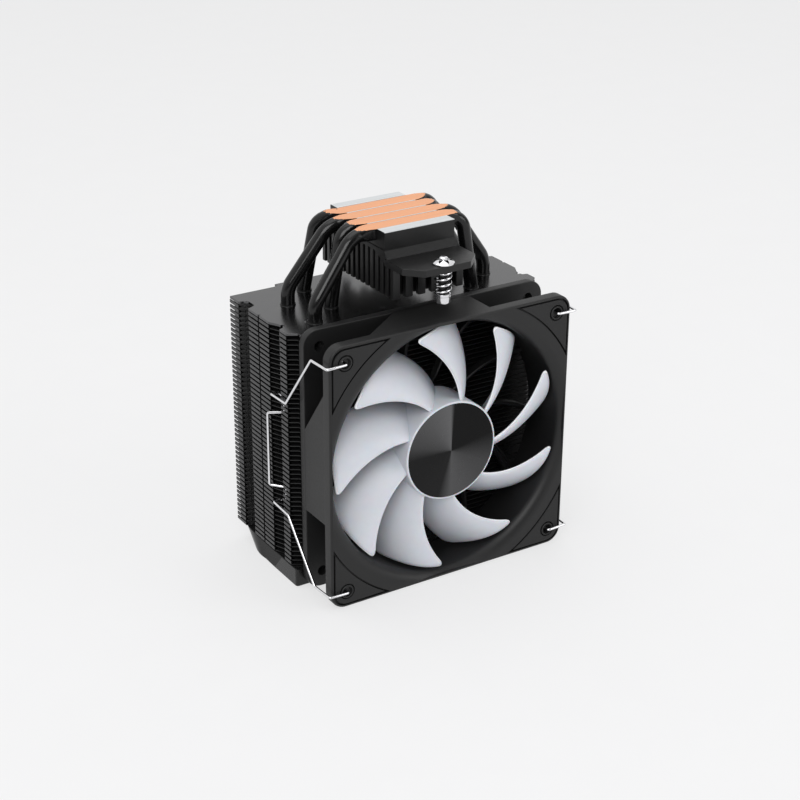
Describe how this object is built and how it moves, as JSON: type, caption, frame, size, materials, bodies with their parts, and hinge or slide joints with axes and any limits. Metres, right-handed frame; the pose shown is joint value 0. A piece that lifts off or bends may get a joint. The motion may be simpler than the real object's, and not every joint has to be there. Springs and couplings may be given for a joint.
{
  "type": "cpu tower cooler",
  "caption": "Tower air cooler: a contact base with a pin heatsink and spring screws, bent heat pipes, a tall finned stack with an end cap, and a wire-clipped axial fan.",
  "frame": {"origin": "centre of the flat contact face that sits on the processor", "axes": "+Z is the contact face's outward normal, towards the processor; X runs across the fan; +Y is the way the air flows, from the fan through the fins"},
  "size_m": [0.134, 0.0961, 0.153],
  "materials": {
    "milled_aluminium": "milled with fine straight marks",
    "copper": "copper, milled flat and bare in the contact face, black coated elsewhere",
    "black_coated_aluminium": "thin black coating, semi-gloss",
    "black_gloss_plate": "thin black coating, glossy",
    "black_plastic": "fine satin grain",
    "nickel_plated_steel": "bright nickel plate",
    "black_rubber": "matt",
    "frosted_white_plastic": "frosted, lets light through",
    "spun_black_metal": "black, turned with fine circular marks",
    "lamination_steel": "plain",
    "ferrite": "matt dark grey",
    "white_nylon": "satin",
    "sintered_bronze": "porous, oiled",
    "enamelled_copper_wire": "clear enamel",
    "circuit_board": "solder mask",
    "cable_sleeve": "matt sleeve"
  },
  "bodies": {
    "cooler": {"base_plate": "milled_aluminium", "heat_pipe_1": "copper", "heat_pipe_2": "copper", "heat_pipe_3": "copper", "heat_pipe_4": "copper", "base_heatsink": "black_coated_aluminium", "top_fin": "black_gloss_plate", "fin_stack": "black_coated_aluminium", "crown_cover": "black_plastic", "screw_spring_front": "nickel_plated_steel", "screw_spring_rear": "nickel_plated_steel", "fan_frame": "black_plastic", "corner_pad_front_upper_right": "black_rubber", "corner_pad_front_upper_left": "black_rubber", "corner_pad_front_lower_left": "black_rubber", "corner_pad_front_lower_right": "black_rubber", "corner_pad_rear_upper_right": "black_rubber", "corner_pad_rear_upper_left": "black_rubber", "corner_pad_rear_lower_left": "black_rubber", "corner_pad_rear_lower_right": "black_rubber", "bearing_sleeve": "sintered_bronze", "stator_core": "lamination_steel", "stator_coil_1": "enamelled_copper_wire", "stator_coil_2": "enamelled_copper_wire", "stator_coil_3": "enamelled_copper_wire", "stator_coil_4": "enamelled_copper_wire", "motor_pcb": "circuit_board", "led_ring": "circuit_board", "bearing_cap": "black_plastic", "fan_cable": "cable_sleeve", "fan_connector": "black_plastic", "led_cable": "cable_sleeve", "led_connector": "black_plastic"},
    "rotor": {"impeller": "frosted_white_plastic", "hub_disc": "spun_black_metal", "rotor_yoke": "lamination_steel", "magnet_ring": "ferrite", "fan_shaft": "nickel_plated_steel", "shaft_clip": "white_nylon"},
    "clip_left": {"wire_clip_left": "nickel_plated_steel"},
    "clip_right": {"wire_clip_right": "nickel_plated_steel"},
    "screw_travel_front": {"screw_retainer_front": "nickel_plated_steel"},
    "screw_travel_rear": {"screw_retainer_rear": "nickel_plated_steel"},
    "screw_front": {"spring_screw_front": "nickel_plated_steel"},
    "screw_rear": {"spring_screw_rear": "nickel_plated_steel"}
  },
  "joints": [
    {"name": "fan_spin", "type": "hinge", "parent": "cooler", "child": "rotor", "pos_m": [0, -0.0494, -0.093], "axis": [0, -1, 0], "continuous": true},
    {"name": "clip_left_swing", "type": "hinge", "parent": "cooler", "child": "clip_left", "pos_m": [-0.0525, -0.0494, -0.093], "axis": [0, 0, 1], "range_deg": [0, 30], "stiffness_Nm_per_rad": 0.05},
    {"name": "clip_right_swing", "type": "hinge", "parent": "cooler", "child": "clip_right", "pos_m": [0.0525, -0.0494, -0.093], "axis": [0, 0, -1], "range_deg": [0, 30], "stiffness_Nm_per_rad": 0.05},
    {"name": "screw_front_travel", "type": "slide", "parent": "cooler", "child": "screw_travel_front", "axis": [0, 0, 1], "range_m": [0, 0.0035], "stiffness_N_per_m": 6000, "deforming": ["screw_spring_front"]},
    {"name": "screw_front_turn", "type": "hinge", "parent": "screw_travel_front", "child": "screw_front", "pos_m": [0, -0.04, -0.0188], "axis": [0, 0, 1], "continuous": true},
    {"name": "screw_rear_travel", "type": "slide", "parent": "cooler", "child": "screw_travel_rear", "axis": [0, 0, 1], "range_m": [0, 0.0035], "stiffness_N_per_m": 6000, "deforming": ["screw_spring_rear"]},
    {"name": "screw_rear_turn", "type": "hinge", "parent": "screw_travel_rear", "child": "screw_rear", "pos_m": [0, 0.04, -0.0188], "axis": [0, 0, 1], "continuous": true}
  ]
}
